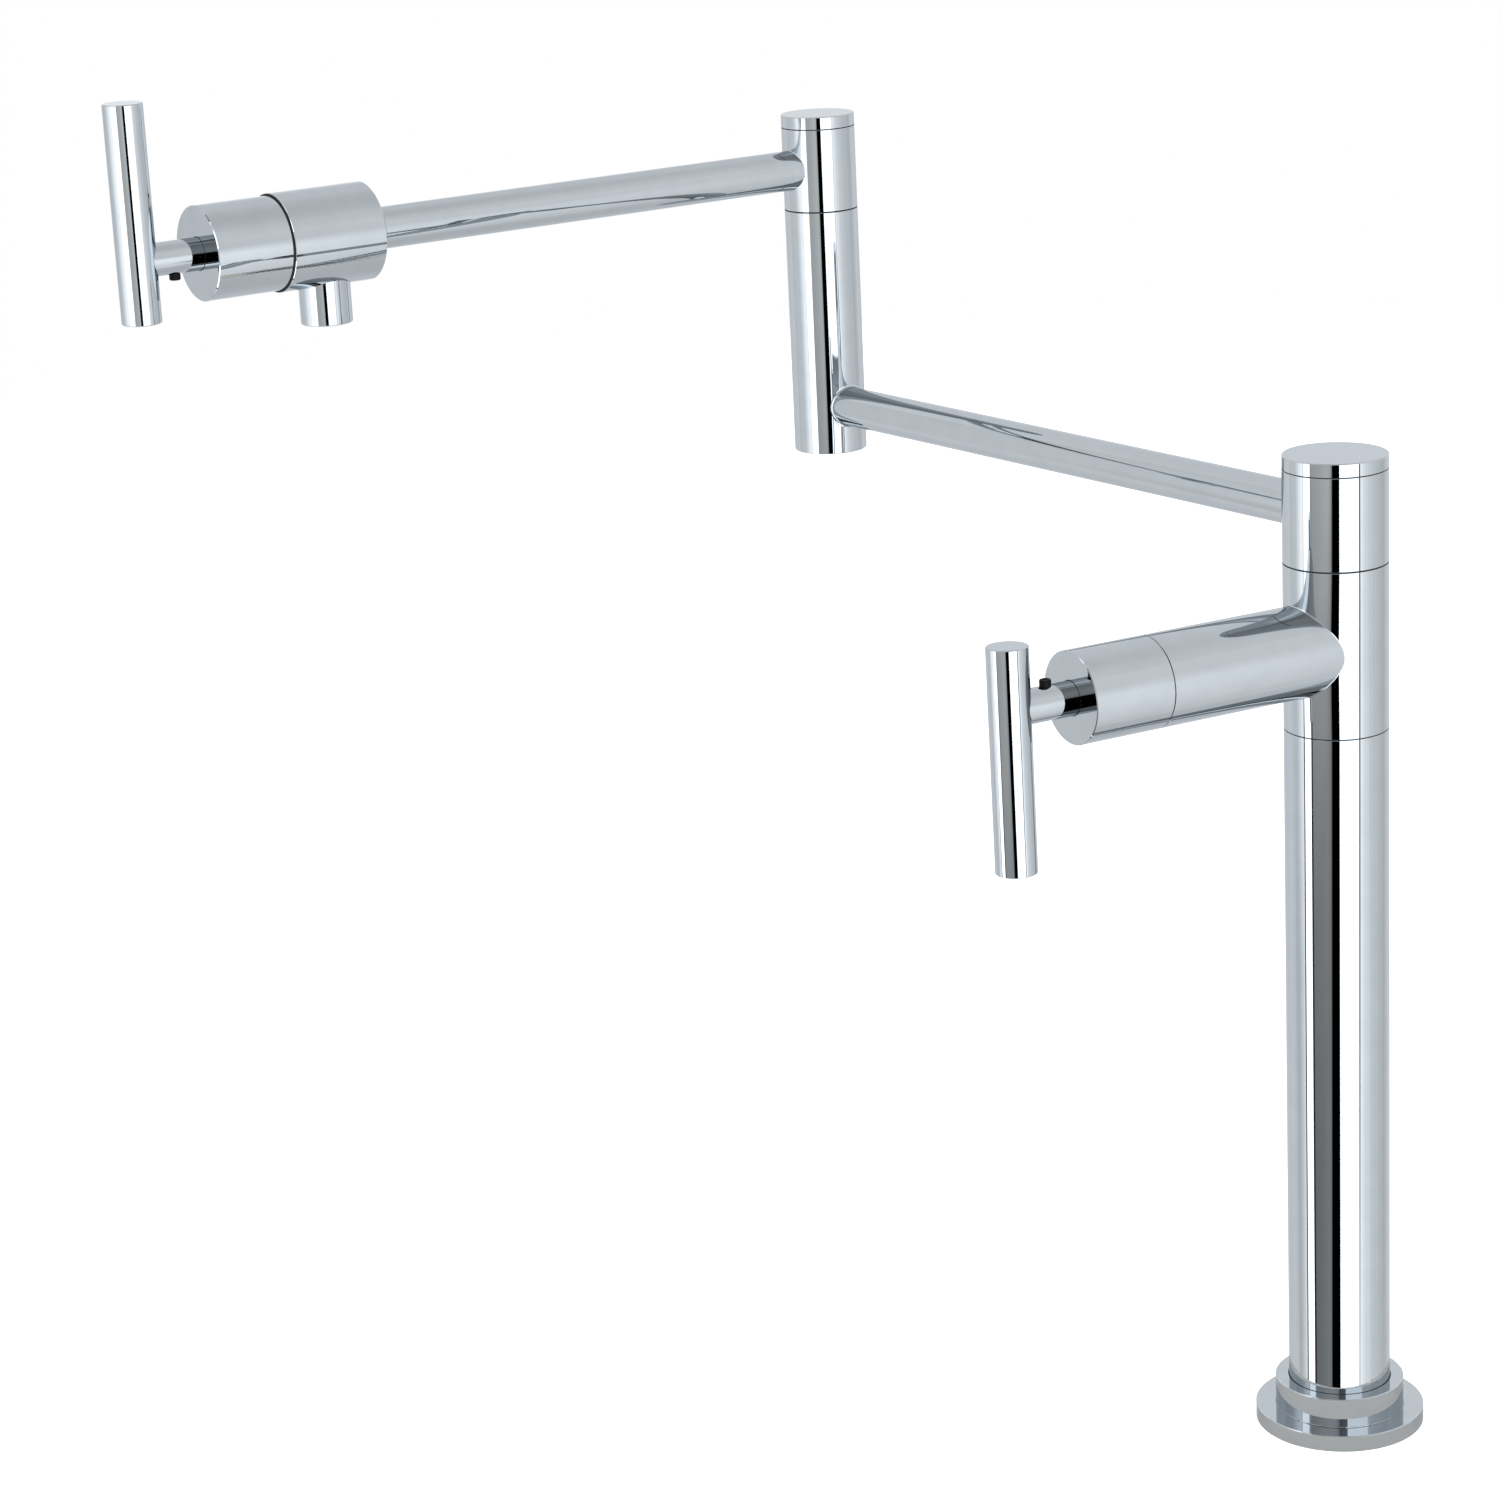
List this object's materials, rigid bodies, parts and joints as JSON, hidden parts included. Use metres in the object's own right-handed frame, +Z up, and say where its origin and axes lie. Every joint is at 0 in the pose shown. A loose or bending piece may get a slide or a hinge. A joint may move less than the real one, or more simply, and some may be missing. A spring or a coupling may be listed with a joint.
{
  "type": "deck mount pot filler tap",
  "caption": "Deck mount pot filler: a tall column with a side valve carries a folding double-jointed arm that ends in a second valve with a downward nozzle.",
  "frame": {"origin": "on the column's axis, at the underside of the deck flange, so the deck's top is z = 0", "axes": "+Z up along the column; -Y from the column along the side valve, towards the user; in the stored pose the lower arm goes towards -X and the upper arm comes forward from the middle joint"},
  "size_m": [0.3168, 0.349, 0.5433],
  "materials": {
    "chrome": "polished chrome plating on brass",
    "brass": "machined, bare",
    "steel": "stainless, satin",
    "black_steel": "blackened steel",
    "rubber": "black, matt",
    "ceramic": "white ceramic, lapped",
    "plastic": "white, low friction"
  },
  "bodies": {
    "base": {"deck_flange": "chrome", "flange_gasket": "rubber", "base_collar": "chrome", "riser_tube": "chrome", "threaded_shank": "brass", "deck_rubber_washer": "rubber", "deck_steel_washer": "steel", "mounting_nut": "brass", "valve_body": "chrome", "column_swivel_post": "brass", "column_o_rings": "rubber", "column_thrust_washer": "plastic", "column_top_washer": "plastic", "column_retaining_ring": "steel", "side_bonnet": "chrome", "side_cartridge_body": "brass", "side_cartridge_nut": "brass", "side_fixed_disc": "ceramic", "side_seat_seal": "rubber", "side_stem_seal": "rubber"},
    "side_handle": {"side_handle_hub": "chrome", "side_lever_rod": "chrome", "side_set_screw": "black_steel", "side_spindle": "brass", "side_turning_disc": "ceramic"},
    "lower_arm": {"swivel_head": "chrome", "column_cap": "chrome", "lower_arm_tube": "chrome", "joint_barrel": "chrome", "joint_swivel_post": "brass", "joint_o_rings": "rubber", "joint_thrust_washer": "plastic", "joint_top_washer": "plastic", "joint_retaining_ring": "steel"},
    "upper_arm": {"knuckle": "chrome", "joint_cap": "chrome", "upper_arm_tube": "chrome", "outlet_body": "chrome", "outlet_nozzle": "chrome", "stream_insert": "plastic", "stream_mesh": "plastic", "outlet_bonnet": "chrome", "outlet_cartridge_body": "brass", "outlet_cartridge_nut": "brass", "outlet_fixed_disc": "ceramic", "outlet_seat_seal": "rubber", "outlet_stem_seal": "rubber"},
    "outlet_handle": {"outlet_handle_hub": "chrome", "outlet_lever_rod": "chrome", "outlet_set_screw": "black_steel", "outlet_spindle": "brass", "outlet_turning_disc": "ceramic"}
  },
  "joints": [
    {"name": "column_swivel", "type": "hinge", "parent": "base", "child": "lower_arm", "pos_m": [0, 0, 0.3246], "axis": [0, 0, 1], "continuous": true},
    {"name": "joint_swivel", "type": "hinge", "parent": "lower_arm", "child": "upper_arm", "pos_m": [-0.27402, -0.03219, 0.4146], "axis": [0, 0, 1], "continuous": true},
    {"name": "side_handle_turn", "type": "hinge", "parent": "base", "child": "side_handle", "pos_m": [0, -0.0752, 0.2799], "axis": [0, -1, 0], "range_deg": [0, 90]},
    {"name": "outlet_handle_turn", "type": "hinge", "parent": "upper_arm", "child": "outlet_handle", "pos_m": [-0.25597, -0.26148, 0.4146], "axis": [0.0785, -0.9969, 0], "range_deg": [0, 90]}
  ]
}
